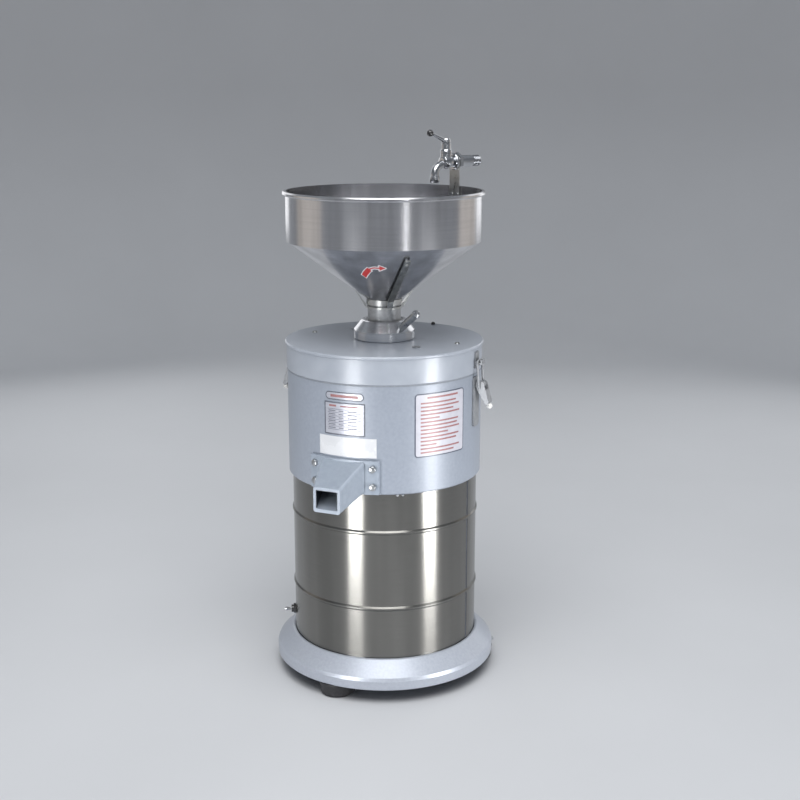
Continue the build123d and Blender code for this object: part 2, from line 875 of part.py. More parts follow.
def lid_screws():
    """Two round-headed screws that hold the splash ring."""
    shank = rod(lid_screw_radius, lid_top - lid_plate - 5, lid_top)
    head = turned((0, lid_top), (4.2, lid_top), (3, lid_top + 2), (0, lid_top + 2))
    return around(2, Pos(splash_circle, 0, 0) * (shank + head))


def handle_line():
    """Frame on the handle's axis where it enters the collar, Z along the handle."""
    start = collar_top_radius - 1 + 4
    rise = collar_top - collar_cone * 0.72
    return Pos(start, 0, rise) * Rot(0, 90 - handle_slope, 0)


def adjusting_collar():
    """Collar nut: spigot through the lid, base ring, groove and polished cone."""
    base_top = collar_top - collar_cone
    body = turned(
        (sleeve_radius + running, lid_top - lid_plate - lid_boss_depth - 4),
        (spigot_radius, lid_top - lid_plate - lid_boss_depth - 4),
        (spigot_radius, collar_bottom),
        (collar_radius, collar_bottom),
        (collar_radius, base_top - 1.5),
        (collar_radius - 1.5, base_top - 1.5),
        (collar_radius - 1.5, base_top),
        (collar_radius, base_top),
        (collar_top_radius, collar_top),
        (sleeve_radius + running, collar_top),
        cuts=[0, 0, 0, 1.5, 0, 0, 0, 0, 1, 0],
    )
    socket = handle_line() * rod(handle_radius + seat_gap, 0, 60)
    return body - facing(handle_azimuth) * socket


def collar_retainer():
    """Ring clipped round the collar's spigot below the lid, so that the collar only turns."""
    top = lid_top - lid_plate - lid_boss_depth - slack
    return tube(lid_boss_radius - 3, spigot_radius + seat_gap, top - 3, top)


def handle_length():
    """Length of the handle from its socket to its outer end."""
    return (handle_reach - collar_top_radius - 3) / math.cos(math.radians(handle_slope))


def adjusting_handle():
    """Steel bar screwed into the collar, with a wider domed end to hold."""
    end = handle_length()
    wide = handle_radius + 0.8
    grip = turned((0, end - 8), (wide, end - 8), (wide, end - 1), (0, end + 1), cuts=[0, 1, 3, 0])
    return facing(handle_azimuth) * handle_line() * (rod(handle_radius, 0, end - 8) + grip)


# Hopper and feed gate


def hopper():
    """Sheet hopper: rolled rim, upright wall, cone and a short throat."""
    lean = hopper_wall / math.cos(math.radians(cone_angle))
    inside = hopper_radius - hopper_wall
    throat = neck_radius - 5
    body = turned(
        (throat, neck_bottom),
        (throat + hopper_wall, neck_bottom),
        (throat + hopper_wall, cone_height(throat + hopper_wall)),
        (hopper_radius, cylinder_bottom),
        (hopper_radius, rim_top - 2 * rim_bead),
        (rim_radius, rim_top - 2 * rim_bead),
        (rim_radius, rim_top),
        (inside, rim_top),
        (inside, cylinder_bottom + lean * 0.4),
        (throat, cone_height(throat) + lean),
        cuts=[0, 0, 0, 0, 0, 1.8, 1.8, 0, 0, 0],
    )
    return body - rivet_bars(rivet_radius, inside - 3, hopper_radius + 3)


def hopper_neck():
    """Ring welded round the throat under the cone."""
    top = cone_height(neck_radius) - seat_gap
    throat = neck_radius - 4 + seat_gap
    return turned(
        (throat, neck_bottom),
        (neck_radius, neck_bottom),
        (neck_radius, top - 0.5),
        (throat, cone_height(throat) - 0.5),
    )


def gate_opening(bottom, top, radius):
    """Half-moon cutter; two of them in line let the beans through."""
    return rod(radius, bottom, top) & block((-radius, radius), (moon_edge, radius), (bottom, top))


def feed_gate():
    """Turning plate with a half-moon opening and a long arm bent up along the cone."""
    top = gate_bottom + gate_thickness
    plate = rod(neck_radius - 2.5, gate_bottom, top)
    plate -= gate_opening(gate_bottom - 1, top + 1, feed_bore - 3)
    below = 3.5
    bend = neck_radius + 6
    profile = [(neck_radius - 6, gate_bottom), (bend, gate_bottom)]
    end_height = cone_height(gate_arm_reach) - below - gate_thickness
    bend_height = cone_height(bend) - below - gate_thickness
    profile += [(bend + 3, bend_height), (gate_arm_reach, end_height)]
    back = [(x - gate_thickness * 0.62, z + gate_thickness * 0.78) for x, z in profile[2:]][::-1]
    profile += back + [(bend - 1.5, top), (neck_radius - 6, top)]
    half = gate_arm_width / 2
    arm = extrude(Plane.XZ * make_face(Polyline(*profile, close=True)), half, both=True)
    hole = Pos(gate_arm_reach - 7, 0, 0) * rod(2.4, gate_bottom, rim_top)
    ends = Pos(gate_arm_reach - half, 0, 0) * rod(half, gate_bottom - 5, rim_top)
    ends += block((0, gate_arm_reach - half), (-half, half), (gate_bottom - 5, rim_top))
    return plate + facing(gate_azimuth) * ((arm & ends) - hole)


def gate_seat():
    """Lower ring with a spigot into the sleeve, hung from the cone by two welded straps."""
    top = seat_bottom + seat_thickness
    spigot = feed_bore - seat_gap * 2
    body = turned(
        (spigot - 2, seat_bottom - 16),
        (spigot, seat_bottom - 16),
        (spigot, seat_bottom),
        (neck_radius - 0.5, seat_bottom),
        (neck_radius - 0.5, top),
        (0, top),
        (0, seat_bottom),
        (spigot - 2, seat_bottom),
    )
    body -= gate_opening(seat_bottom - 1, top + 1, feed_bore - 3)
    low, high = (neck_radius - 1.5, seat_bottom + 0.5), (strut_reach, cone_height(strut_reach) - 0.1)
    reach = (high[0] - 1.5, cone_height(high[0] - 1.5) - 0.1)
    strap = [low, (low[0] + 2.5, low[1]), high, reach, (low[0], top)]
    strut = extrude(Plane.XZ * make_face(Polyline(*strap, close=True)), strut_width / 2, both=True)
    return body + [facing(strut_azimuth) * strut, facing(strut_azimuth + 180) * strut]


# Water tap


def rivet_bars(radius, inner, outer):
    """Two radial bars where the tap's bracket is riveted to the hopper's wall."""
    return [
        facing(tap_azimuth) * radial_bar(radius, inner, outer, rim_top - rivet_drop, y)
        for y in (-rivet_side, rivet_side)
    ]


def tap_bracket():
    """Strap riveted inside the hopper's wall and bored at its upper end for the tap."""
    out = hopper_radius - hopper_wall - 0.9
    half = bracket_width / 2
    strap = block((out - bracket_thickness, out), (-half, half), (rim_top - bracket_drop, tap_height))
    eye = radial_bar(half, out - bracket_thickness, out, tap_height)
    hole = radial_bar(tap_tail_radius + seat_gap, out - 5, out + 2, tap_height)
    return facing(tap_azimuth) * (strap + eye - hole) - rivet_bars(rivet_radius, out - 5, out + 5)


def bracket_rivets():
    """Two rivets through the strap and the hopper's wall."""
    out = hopper_radius - hopper_wall - 0.9
    inner = out - bracket_thickness
    shanks = rivet_bars(rivet_radius - seat_gap, inner, out + 0.5)
    heads = rivet_bars(rivet_radius + 1.4, inner - 1.4, inner)
    return [shank + head for shank, head in zip(shanks, heads)]


def tap_body():
    """Cast tap: threaded tail, hexagon shoulder, valve chamber, curved spout."""
    shoulder = hopper_radius - hopper_wall - 0.9 - bracket_thickness
    start = tap_valve - 9
    along = Rot(0, 90, 0) * turned(
        (0, start),
        (8, start),
        (11, tap_valve - 4),
        (11, tap_valve + 5),
        (8.5, shoulder - 7),
        (8.5, shoulder - 5),
        (13, shoulder - 5),
        (13, shoulder),
        (tap_tail_radius, shoulder),
        (tap_tail_radius, tap_tail - 16),
        (tap_tail_radius - 1.2, tap_tail - 15),
        (tap_tail_radius - 1.2, tap_tail),
        (0, tap_tail),
        cuts=[0, 2, 3, 3, 0, 0, 1, 1, 0, 0, 0, 0.8, 0],
    )
    collar = rod(8.5, 0, 13)
    upright = Pos(tap_valve, 0, 0) * collar
    end = -tap_drop + 10
    path = FilletPolyline((tap_valve - 4, 0, -2), (tap_nozzle, 0, -9), (tap_nozzle, 0, end), radius=13)
    start_plane = Plane(origin=path @ 0, z_dir=path % 0)
    spout = sweep(start_plane * Circle(6), path)
    body = along + upright + spout
    inlet = Pos(tap_tail - 22, 0, 0) * Rot(0, 90, 0) * rod(tap_bore, 0, 23)
    return facing(tap_azimuth) * Pos(0, 0, tap_height) * (body - inlet)


def tap_nut():
    """Hexagon lock nut behind the bracket."""
    out = hopper_radius - hopper_wall - 0.9
    nut = Rot(0, 90, 0) * (extrude(RegularPolygon(14, 6), 6) - rod(tap_tail_radius + seat_gap, -1, 7))
    return facing(tap_azimuth) * Pos(out, 0, tap_height) * nut


def tap_outlet():
    """Nozzle screwed to the spout's end, bored from below."""
    top = -tap_drop + 10
    bore = tap_bore - 0.5
    nozzle = turned(
        (0, top),
        (7.5, top),
        (7.5, top - 6),
        (6.8, top - 10),
        (bore, top - 10),
        (bore, top - 2),
        (0, top - 2),
        cuts=[0, 1, 1, 0.5, 0, 0, 0],
    )
    return facing(tap_azimuth) * Pos(tap_nozzle, 0, tap_height) * nozzle


def tap_bonnet():
    """Valve bonnet on the chamber, with a gland nut at the top."""
    bonnet = turned((0, 13), (9, 13), (9, 17), (7.5, 19), (7.5, 28), (0, 28), cuts=[0, 0.8, 0.8, 0, 1, 0])
    return facing(tap_azimuth) * Pos(tap_valve, 0, tap_height) * bonnet


def arm_line():
    """Frame on the lever arm's axis, Z along the arm."""
    return Pos(-4, 0, 32) * Rot(0, tap_arm_lean, 0)


def tap_arm():
    """Tapering arm of the tap's lever."""
    return arm_line() * turned((0, 0), (3.4, 0), (2.4, tap_arm_length), (0, tap_arm_length))


def tap_lever():
    """Cap that turns on the bonnet, with an arm rising to the grip."""
    cap = turned((0, 28.3), (7, 28.3), (7, 35), (0, 36.5), cuts=[0, 0.8, 2, 0])
    return facing(tap_azimuth) * Pos(tap_valve, 0, tap_height) * (cap + tap_arm())


def tap_grip():
    """Black ball grip at the end of the tap's lever."""
    grip = arm_line() * Pos(0, 0, tap_arm_length + 5) * ball(5.2)
    return facing(tap_azimuth) * Pos(tap_valve, 0, tap_height) * (grip - tap_arm())


# Latches


def crank_pin():
    """Where the bail is pinned to the lever: (radius, height)."""
    angle = math.radians(crank_angle)
    return latch_pivot_out + crank * math.cos(angle), latch_pivot_up + crank * math.sin(angle)


def bail_top():
    """Where the bail's cross wire rests in the keeper: (radius, height)."""
    out, up = crank_pin()
    lean = math.radians(bail_lean)
    return out - bail_length * math.sin(lean), up + bail_length * math.cos(lean)


def across(radius, half, out, up):
    """Bar along the local Y of a facing() frame, centred on the latch's middle plane."""
    return Pos(out, 0, up) * Rot(90, 0, 0) * rod(radius, -half, half)


def latch_base():
    """Strap on the chamber's wall with the lug that carries the lever's pin."""
    back = housing_radius + 0.05
    strap = block((back, back + 2.5), (-11, 11), (latch_pivot_up - 64, latch_pivot_up + 11))
    strap = fillet(strap.edges().filter_by(Axis.X), 5)
    half = lug_width / 2
    lug = across(lug_radius, half, latch_pivot_out, latch_pivot_up)
    upright = (latch_pivot_up - lug_radius, latch_pivot_up + lug_radius)
    lug += block((back + 2, latch_pivot_out), (-half, half), upright)
    return strap + lug - across(latch_pin + running, lug_width, latch_pivot_out, latch_pivot_up)


def lever_plate(half):
    """Lever's side view, thickened to both sides of the latch's middle plane."""
    out, up = crank_pin()
    circles = [(latch_pivot_out, latch_pivot_up, 5.4), (out, up, 4.2), (knob_out - 2, knob_up + 6, 3.2)]
    outline = make_hull([e for x, z, r in circles for e in (Pos(x, z) * Circle(r)).edges()])
    return extrude(Plane.XZ * outline, half, both=True)


def latch_lever():
    """Lever with two cheeks round the lug, its own pin, and a neck for the knob."""
    out, up = crank_pin()
    body = lever_plate(lever_width / 2)
    body -= across(lug_swing, lug_width / 2 + slack, latch_pivot_out, latch_pivot_up)
    body -= across(bail_wire + running, lever_width, out, up)
    return body + across(latch_pin, lever_width / 2, latch_pivot_out, latch_pivot_up)


def latch_knob():
    """Ball knob pressed on the lever's end."""
    return Pos(knob_out, 0, knob_up) * ball(knob_radius) - lever_plate(lever_width)


def latch_bail():
    """Wire loop from the lever's cheeks up to the keeper."""
    out, up = crank_pin()
    top_out, top_up = bail_top()
    side = lever_width / 2 + slack + bail_wire
    inner = lug_width / 2 + slack + 0.3
    points = [
        (out, -inner, up),
        (out, -side, up),
        (top_out, -side, top_up),
        (top_out, side, top_up),
        (out, side, up),
        (out, inner, up),
    ]
    path = FilletPolyline(*points, radius=[1.9, 3.5, 3.5, 1.9])
    return sweep(Plane(origin=path @ 0, z_dir=path % 0) * Circle(bail_wire), path)


def latch_keeper():
    """Hook on the lid's skirt: back plate, ledge and upturned lip."""
    out, up = bail_top()
    back = skirt_radius + 0.05
    ledge = up - bail_wire - 0.95
    lip = out + bail_wire + 2.1
    half = lever_width / 2 - 1
    profile = [
        (back, ledge - 9),
        (back + 2, ledge - 9),
        (back + 2, ledge - 5),
        (lip + 2, ledge - 2.5),
        (lip + 2, ledge + 4),
        (lip, ledge + 4),
        (lip, ledge),
        (back + 2, ledge),
        (back + 2, ledge + 15),
        (back, ledge + 15),
    ]
    return extrude(Plane.XZ * make_face(Polyline(*profile, close=True)), half, both=True)


def both_sides(shape):
    """The same latch piece on both sides of the machine."""
    return [facing(azimuth) * shape for azimuth in latch_azimuths.values()]


def build():
    """Write every node."""
    os.makedirs("parts", exist_ok=True)
    save("base_ring", base_ring())
    save("rubber_feet", rubber_feet())
    save("foot_bolts", foot_bolts())
    save("motor_shell", motor_shell())
    save("upper_end_shield", upper_end_shield())
    save("lower_end_shield", lower_end_shield())
    save("motor_bearings", motor_bearings())
    save("motor_frame", motor_frame())
    save("stator_core", stator_core())
    save("stator_windings", stator_windings())
    save("motor_bolts", motor_bolts())
    save("rotor_shaft", rotor_shaft())
    save("rotor_core", rotor_core())
    save("cooling_fan", cooling_fan())
    save("run_capacitor", run_capacitor())
    save("capacitor_clamp", capacitor_clamp())
    save("toggle_switch", toggle_switch())
    save("switch_lever", switch_lever())
    save("cable_gland", cable_gland())
    save("grinding_housing", grinding_housing())
    save("milk_spout", outlet(spout_root, spout_mouth, 0))
    save("residue_chute", outlet(chute_root, chute_mouth, 180))
    save("outlet_bolts", outlet_bolts())
    save("shaft_seal", shaft_seal())
    save("residue_trough", residue_trough())
    save("filter_basket", filter_basket())
    save("filter_screen", filter_screen())
    save("lower_stone", stone(lower_stone_bottom, True, 18.5))
    save("upper_stone", stone(upper_stone_bottom, False, feed_bore))
    save("feed_screw", feed_screw())
    save("stone_holder", stone_holder())
    save("stone_screws", stone_screws())
    save("guide_pins", guide_pins())
    save("lid_gasket", lid_gasket())
    save("lid", lid())
    save("splash_ring", splash_ring())
    save("lid_screws", lid_screws())
    save("adjusting_collar", adjusting_collar())
    save("collar_retainer", collar_retainer())
    save("adjusting_handle", adjusting_handle())
    save("hopper", hopper())
    save("hopper_neck", hopper_neck())
    save("feed_gate", feed_gate())
    save("gate_seat", gate_seat())
    save("tap_bracket", tap_bracket())
    save("bracket_rivets", bracket_rivets())
    save("tap_body", tap_body())
    save("tap_nut", tap_nut())
    save("tap_outlet", tap_outlet())
    save("tap_bonnet", tap_bonnet())
    save("tap_lever", tap_lever())
    save("tap_grip", tap_grip())
    save("latch_bases", both_sides(latch_base()))
    save("latch_keepers", both_sides(latch_keeper()))
    for side, azimuth in latch_azimuths.items():
        save(f"latch_lever_{side}", facing(azimuth) * latch_lever())
        save(f"latch_knob_{side}", facing(azimuth) * latch_knob())
        save(f"latch_bail_{side}", facing(azimuth) * latch_bail())


build()
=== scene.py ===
import math

import bpy
from mathutils import Matrix, Vector


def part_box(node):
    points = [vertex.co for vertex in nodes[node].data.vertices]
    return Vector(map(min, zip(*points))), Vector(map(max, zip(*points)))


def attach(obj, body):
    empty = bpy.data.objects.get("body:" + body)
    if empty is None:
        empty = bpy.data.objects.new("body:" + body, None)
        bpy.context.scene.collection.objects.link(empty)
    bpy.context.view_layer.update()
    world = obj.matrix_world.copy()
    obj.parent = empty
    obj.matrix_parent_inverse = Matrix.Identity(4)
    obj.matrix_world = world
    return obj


# Looks of the soy milk machine. Metres, in the CAD frame: +Z up, the milk spout at -Y.
# Azimuths are in degrees round Z from the spout, positive towards +X.

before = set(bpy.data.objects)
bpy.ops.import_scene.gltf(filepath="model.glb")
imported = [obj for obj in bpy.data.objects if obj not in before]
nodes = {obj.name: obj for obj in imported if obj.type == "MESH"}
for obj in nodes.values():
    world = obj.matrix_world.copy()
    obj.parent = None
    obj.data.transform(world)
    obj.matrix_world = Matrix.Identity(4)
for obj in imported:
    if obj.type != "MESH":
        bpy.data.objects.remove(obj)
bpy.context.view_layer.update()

MM = 0.001


# Node materials

# Width of one band of the wave texture at a scale of 1
BAND_WIDTH = 0.314
# Share of an outlet's half height down to which its walls get painted shade, so that its floor keeps the
# plain paint
PAINTED_SHADE_BOTTOM = -0.9


def new_material(name):
    """Material with its node tree, its shader and its object coordinates."""
    material = bpy.data.materials.new(name)
    material.use_nodes = True
    tree = material.node_tree
    shader = tree.nodes["Principled BSDF"]
    place = tree.nodes.new("ShaderNodeTexCoord").outputs["Object"]
    return material, tree, shader, place


def even(scale):
    """The same grain along X, Y and Z."""
    return (scale, scale, scale)


def noise(tree, place, scale, detail=4.0):
    """Noise whose grain has its own scale along X, Y and Z."""
    mapping = tree.nodes.new("ShaderNodeMapping")
    mapping.inputs["Scale"].default_value = scale
    tree.links.new(place, mapping.inputs["Vector"])
    texture = tree.nodes.new("ShaderNodeTexNoise")
    texture.inputs["Scale"].default_value = 1.0
    texture.inputs["Detail"].default_value = detail
    tree.links.new(mapping.outputs["Vector"], texture.inputs["Vector"])
    return texture.outputs["Fac"]


def ramp(tree, value, low, high, start=0.3, end=0.7):
    """Colour between low and high as a value goes from start to end."""
    node = tree.nodes.new("ShaderNodeValToRGB")
    node.color_ramp.elements[0].position = start
    node.color_ramp.elements[1].position = end
    node.color_ramp.elements[0].color = (*low, 1.0)
    node.color_ramp.elements[1].color = (*high, 1.0)
    tree.links.new(value, node.inputs["Fac"])
    return node.outputs["Color"]


def span(tree, value, low, high):
    """Number between low and high as a value goes from 0.3 to 0.7."""
    node = tree.nodes.new("ShaderNodeMapRange")
    node.inputs["From Min"].default_value = 0.3
    node.inputs["From Max"].default_value = 0.7
    node.inputs["To Min"].default_value = low
    node.inputs["To Max"].default_value = high
    tree.links.new(value, node.inputs["Value"])
    return node.outputs["Result"]


def bump(tree, shader, value, strength, distance):
    """Small relief from a value."""
    node = tree.nodes.new("ShaderNodeBump")
    node.inputs["Strength"].default_value = strength
    node.inputs["Distance"].default_value = distance
    tree.links.new(value, node.inputs["Height"])
    tree.links.new(node.outputs["Normal"], shader.inputs["Normal"])


def shaded(tree, colour, value, low, high):
    """Colour made darker or lighter by a factor that follows a value."""
    node = tree.nodes.new("ShaderNodeVectorMath")
    node.operation = "SCALE"
    tree.links.new(colour, node.inputs[0])
    tree.links.new(span(tree, value, low, high), node.inputs["Scale"])
    return node.outputs["Vector"]


def finish(name, low, high, rough, metallic=0.0, grain=even(60), relief=0.0, depth=0.0002, coat=0.0,
           anisotropic=0.0, wave=None, streak=None):
    """Finish whose colour and roughness wander with a grain, and whose tone may follow wider streaks."""
    material, tree, shader, place = new_material(name)
    value = noise(tree, place, grain)
    colour = ramp(tree, value, low, high)
    if streak:
        colour = shaded(tree, colour, noise(tree, place, streak, detail=3.0), 0.72, 1.12)
    tree.links.new(colour, shader.inputs["Base Color"])
    tree.links.new(span(tree, value, *rough), shader.inputs["Roughness"])
    shader.inputs["Metallic"].default_value = metallic
    shader.inputs["Coat Weight"].default_value = coat
    shader.inputs["Coat Roughness"].default_value = 0.12
    if anisotropic:
        shader.inputs["Anisotropic"].default_value = anisotropic
        shader.inputs["Anisotropic Rotation"].default_value = 0.25
        tangent = tree.nodes.new("ShaderNodeTangent")
        tangent.direction_type = "RADIAL"
        tangent.axis = "Z"
        tree.links.new(tangent.outputs["Tangent"], shader.inputs["Tangent"])
    if wave:
        bump(tree, shader, noise(tree, place, wave, detail=1.0), relief, depth)
    elif relief:
        bump(tree, shader, value, relief, depth)
    return material


def calculate(tree, operation, *values):
    """Math node on sockets or numbers."""
    node = tree.nodes.new("ShaderNodeMath")
    node.operation = operation
    for socket, value in zip(node.inputs, values):
        if isinstance(value, (int, float)):
            socket.default_value = value
        else:
            tree.links.new(value, socket)
    return node.outputs["Value"]


def blend(tree, factor, first, second):
    """Colour that goes from the first to the second as a factor goes from 0 to 1."""
    node = tree.nodes.new("ShaderNodeMix")
    node.data_type = "RGBA"
    first_colour, second_colour, result = node.inputs[6], node.inputs[7], node.outputs[2]
    tree.links.new(factor, node.inputs["Factor"])
    tree.links.new(first, first_colour)
    tree.links.new(second, second_colour)
    return result


def paint_shade_in_outlet(material, root, mouth, inner_y, outer_y):
    """Paint near black shade on the walls and roof inside an outlet, which tapers along Y from its root to
    its mouth.

    root and mouth are (half width, half height, height of the centre) of the hollow, in metres.
    """
    tree = material.node_tree
    shader = tree.nodes["Principled BSDF"]
    place = tree.nodes.new("ShaderNodeTexCoord").outputs["Object"]
    parts = tree.nodes.new("ShaderNodeSeparateXYZ")
    tree.links.new(place, parts.inputs["Vector"])
    along = calculate(tree, "SUBTRACT", parts.outputs["Y"], inner_y)
    share = calculate(tree, "DIVIDE", along, outer_y - inner_y)

    def tapering(k):
        return calculate(tree, "MULTIPLY_ADD", share, mouth[k] - root[k], root[k])

    aside = calculate(tree, "ABSOLUTE", parts.outputs["X"])
    upward = calculate(tree, "SUBTRACT", parts.outputs["Z"], tapering(2))
    floor_height = calculate(tree, "MULTIPLY", tapering(1), PAINTED_SHADE_BOTTOM)
    between = calculate(tree, "LESS_THAN", aside, tapering(0))
    below_roof = calculate(tree, "LESS_THAN", upward, tapering(1))
    above_floor = calculate(tree, "GREATER_THAN", upward, floor_height)
    inside = calculate(tree, "MULTIPLY", between, calculate(tree, "MULTIPLY", below_roof, above_floor))
    painted = shader.inputs["Base Color"].links[0].from_socket
    # Painted shade: near black colour on the hollow's walls and roof
    painted_shade = ramp(tree, noise(tree, place, even(60)), (0.012, 0.016, 0.02), (0.05, 0.065, 0.08))
    tree.links.new(blend(tree, inside, painted, painted_shade), shader.inputs["Base Color"])
    return material


def ring_lines(name, low, high, rough, pitch, relief, depth):
    """Metal with even lines round Z at a pitch in metres."""
    material, tree, shader, place = new_material(name)
    wave = tree.nodes.new("ShaderNodeTexWave")
    wave.wave_type = "BANDS"
    wave.bands_direction = "Z"
    wave.inputs["Scale"].default_value = BAND_WIDTH / pitch
    wave.inputs["Distortion"].default_value = 0.2
    tree.links.new(place, wave.inputs["Vector"])
    tree.links.new(ramp(tree, wave.outputs["Fac"], low, high, 0.2, 0.8), shader.inputs["Base Color"])
    tree.links.new(span(tree, noise(tree, place, even(40)), *rough), shader.inputs["Roughness"])
    shader.inputs["Metallic"].default_value = 1.0
    bump(tree, shader, wave.outputs["Fac"], relief, depth)
    return material


# Finishes of the metals, the paints, the rubber and plastic, and the plates

shell_steel = finish("CasingSteel", (0.235, 0.230, 0.215), (0.265, 0.260, 0.245), (0.24, 0.27), 1.0,
                     grain=(30, 30, 1500), anisotropic=0.9, streak=(16, 16, 1))
hopper_steel = finish("HopperSteel", (0.56, 0.56, 0.58), (0.63, 0.63, 0.65), (0.21, 0.24), 1.0,
                      grain=(10, 10, 900), anisotropic=0.35, wave=(9, 9, 5), relief=0.35, depth=0.004,
                      streak=(34, 34, 2))
collar_steel = finish("CollarSteel", (0.62, 0.63, 0.65), (0.72, 0.73, 0.75), (0.18, 0.24), 1.0,
                      grain=(12, 12, 900), anisotropic=0.6)
plain_steel = finish("PlainSteel", (0.42, 0.43, 0.42), (0.58, 0.58, 0.57), (0.26, 0.40), 1.0, grain=even(90))
gate_steel = finish("GateSteel", (0.20, 0.21, 0.21), (0.34, 0.35, 0.35), (0.30, 0.45), 1.0, grain=even(120))
chrome = finish("Chrome", (0.42, 0.43, 0.45), (0.52, 0.53, 0.55), (0.10, 0.18), 1.0, grain=even(70))
zinc = finish("Zinc", (0.38, 0.40, 0.42), (0.52, 0.53, 0.54), (0.26, 0.38), 1.0, grain=even(160))
latch_steel = finish("LatchSteel", (0.24, 0.25, 0.265), (0.32, 0.33, 0.345), (0.42, 0.52), 0.4,
                     grain=even(160))
grey_paint = finish("GreyPaint", (0.245, 0.273, 0.322), (0.272, 0.302, 0.355), (0.36, 0.44), 0.1,
                    grain=even(220), relief=0.08, depth=0.0003, coat=0.08)


def outlet_paint(name):
    """Coarser paint of the two cast outlets."""
    return finish(name, (0.245, 0.282, 0.335), (0.278, 0.318, 0.375), (0.38, 0.48), 0.1,
                  grain=even(150), relief=0.22, depth=0.0006, coat=0.1)


# Hollows of the outlets in metres: half width, half height and height of the centre, and their ends
SPOUT_ROOT = (0.0308, 0.0188, 0.343)
SPOUT_MOUTH = (0.0168, 0.0143, 0.320)
CHUTE_ROOT = (0.0388, 0.0168, 0.450)
CHUTE_MOUTH = (0.0278, 0.0178, 0.424)
HOLLOW_START = 0.146
HOLLOW_END = 0.202

# Both outlets get painted shade inside their hollows
spout_paint = paint_shade_in_outlet(outlet_paint("SpoutPaint"), SPOUT_ROOT, SPOUT_MOUTH, -HOLLOW_START, -HOLLOW_END)
chute_paint = paint_shade_in_outlet(outlet_paint("ChutePaint"), CHUTE_ROOT, CHUTE_MOUTH, HOLLOW_START, HOLLOW_END)
lid_paint = finish("LidPaint", (0.305, 0.333, 0.38), (0.335, 0.363, 0.41), (0.30, 0.36), 0.05,
                   grain=even(40), coat=0.1)
ring_paint = finish("RingPaint", (0.31, 0.335, 0.385), (0.35, 0.375, 0.425), (0.34, 0.42), 0.3,
                    grain=even(260), relief=0.06, depth=0.0003, coat=0.1)
cast_metal = finish("CastMetal", (0.40, 0.41, 0.42), (0.56, 0.57, 0.58), (0.42, 0.6), 1.0,
                    grain=even(200), relief=0.4, depth=0.0005)
ground_steel = finish("GroundSteel", (0.46, 0.46, 0.47), (0.62, 0.62, 0.63), (0.18, 0.3), 1.0,
                      grain=(20, 20, 900))
lamination = ring_lines("Lamination", (0.10, 0.10, 0.11), (0.26, 0.26, 0.28), (0.4, 0.6), 0.001, 0.4, 0.0003)
winding = ring_lines("Winding", (0.30, 0.10, 0.04), (0.62, 0.26, 0.11), (0.3, 0.45), 0.0022, 0.6, 0.0006)
rubber = finish("Rubber", (0.010, 0.010, 0.011), (0.022, 0.022, 0.024), (0.38, 0.55), 0.0,
                grain=even(240), relief=0.2, depth=0.0003)
black_plastic = finish("BlackPlastic", (0.012, 0.012, 0.013), (0.024, 0.024, 0.026), (0.18, 0.3), 0.0,
                       grain=even(300), coat=0.4)
white_plastic = finish("WhitePlastic", (0.62, 0.62, 0.60), (0.70, 0.70, 0.68), (0.16, 0.26), 0.0,
                       grain=even(120), coat=0.4)
gasket_rubber = finish("GasketRubber", (0.17, 0.19, 0.22), (0.22, 0.24, 0.27), (0.5, 0.65), 0.0,
                       grain=even(200))
stone = finish("Stone", (0.20, 0.195, 0.18), (0.42, 0.41, 0.38), (0.7, 0.9), 0.0,
               grain=even(900), relief=0.6, depth=0.0008)
mesh_steel = ring_lines("MeshSteel", (0.22, 0.22, 0.22), (0.60, 0.60, 0.60), (0.3, 0.45), 0.0016, 0.7, 0.0004)
label_white = finish("LabelWhite", (0.43, 0.43, 0.48), (0.48, 0.48, 0.53), (0.28, 0.4), 0.0, grain=even(90))
label_silver = finish("LabelSilver", (0.36, 0.37, 0.42), (0.42, 0.43, 0.48), (0.28, 0.36), 0.3,
                      grain=(30, 30, 800))
label_red = finish("LabelRed", (0.36, 0.02, 0.022), (0.44, 0.035, 0.035), (0.3, 0.42), 0.0, grain=even(200))
blank_white = finish("BlankWhite", (0.54, 0.55, 0.57), (0.60, 0.61, 0.63), (0.22, 0.32), 0.0, grain=even(50))
label_rule = finish("LabelRule", (0.24, 0.10, 0.10), (0.32, 0.15, 0.15), (0.3, 0.42), 0.0, grain=even(300))
label_grey = finish("LabelGrey", (0.13, 0.135, 0.17), (0.20, 0.21, 0.25), (0.3, 0.42), 0.0, grain=even(300))
label_edge = finish("LabelEdge", (0.05, 0.06, 0.09), (0.09, 0.105, 0.14), (0.3, 0.42), 0.0, grain=even(200))
# Dark ink of the plates, also used as painted shadow beside the shell's seam and painted shade in a screw's
# slot
dark_print_and_shade = finish("DarkPrintAndShade", (0.07, 0.08, 0.10), (0.12, 0.13, 0.16), (0.3, 0.4), 0.0, grain=even(200))

# Which finish each node has

